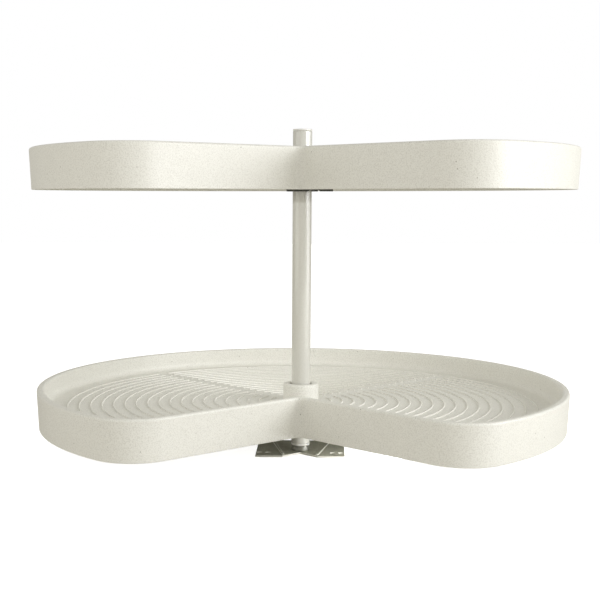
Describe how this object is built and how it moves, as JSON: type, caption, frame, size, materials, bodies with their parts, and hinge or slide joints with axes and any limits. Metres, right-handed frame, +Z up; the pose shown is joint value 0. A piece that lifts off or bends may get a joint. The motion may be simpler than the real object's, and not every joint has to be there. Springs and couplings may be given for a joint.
{
  "type": "kidney lazy susan",
  "caption": "Kidney-shaped corner-cupboard lazy susan: rimmed plastic shelves clamped to a telescoping pole that turns on a steel floor pivot.",
  "frame": {"origin": "on the pole's axis, at the underside of the base bracket, which is the cupboard's floor", "axes": "+Z up along the pole, -Y towards the shelves' front notch and the user, +Y towards the cupboard's back corner, +X along the shelves' width to the user's right"},
  "size_m": [0.7112, 0.6395, 0.435],
  "materials": {
    "shelf_plastic": "satin moulded polymer, warm off-white, fine speckled grain",
    "pole_paint": "semi-gloss white powder coat on steel tube",
    "nylon": "moulded white nylon",
    "plate_steel": "dull grey pressed steel",
    "bright_steel": "zinc-plated steel",
    "dark_steel": "blackened steel"
  },
  "bodies": {
    "base": {"base_bracket": "plate_steel", "pivot_cup": "bright_steel", "pivot_pin": "bright_steel", "thrust_washer": "bright_steel"},
    "pole": {"pole_tube": "pole_paint", "foot_bush": "nylon", "top_bush": "nylon", "lock_nut": "bright_steel", "lock_screw": "dark_steel"},
    "pole_extension": {"inner_tube": "bright_steel", "guide_plug": "nylon", "top_plug": "nylon"},
    "lower_turntable": {"lower_shelf": "shelf_plastic", "lower_hub_sleeve": "nylon", "lower_collar": "dark_steel", "lower_collar_screw": "dark_steel", "lower_hub_screw_1": "bright_steel", "lower_hub_screw_2": "bright_steel", "lower_hub_screw_3": "bright_steel"},
    "upper_turntable": {"upper_shelf": "shelf_plastic", "upper_hub_sleeve": "nylon", "upper_collar": "dark_steel", "upper_collar_screw": "dark_steel", "upper_hub_screw_1": "bright_steel", "upper_hub_screw_2": "bright_steel", "upper_hub_screw_3": "bright_steel"}
  },
  "joints": [
    {"name": "pole_turn", "type": "hinge", "parent": "base", "child": "pole", "pos_m": [0, 0, 0.0105], "axis": [0, 0, 1], "continuous": true},
    {"name": "pole_extend", "type": "slide", "parent": "pole", "child": "pole_extension", "axis": [0, 0, 1], "range_m": [0, 0.14]},
    {"name": "lower_shelf_height", "type": "slide", "parent": "pole", "child": "lower_turntable", "axis": [0, 0, 1], "range_m": [-0.02, 0.08]},
    {"name": "upper_shelf_height", "type": "slide", "parent": "pole", "child": "upper_turntable", "axis": [0, 0, 1], "range_m": [-0.12, 0.004]}
  ]
}
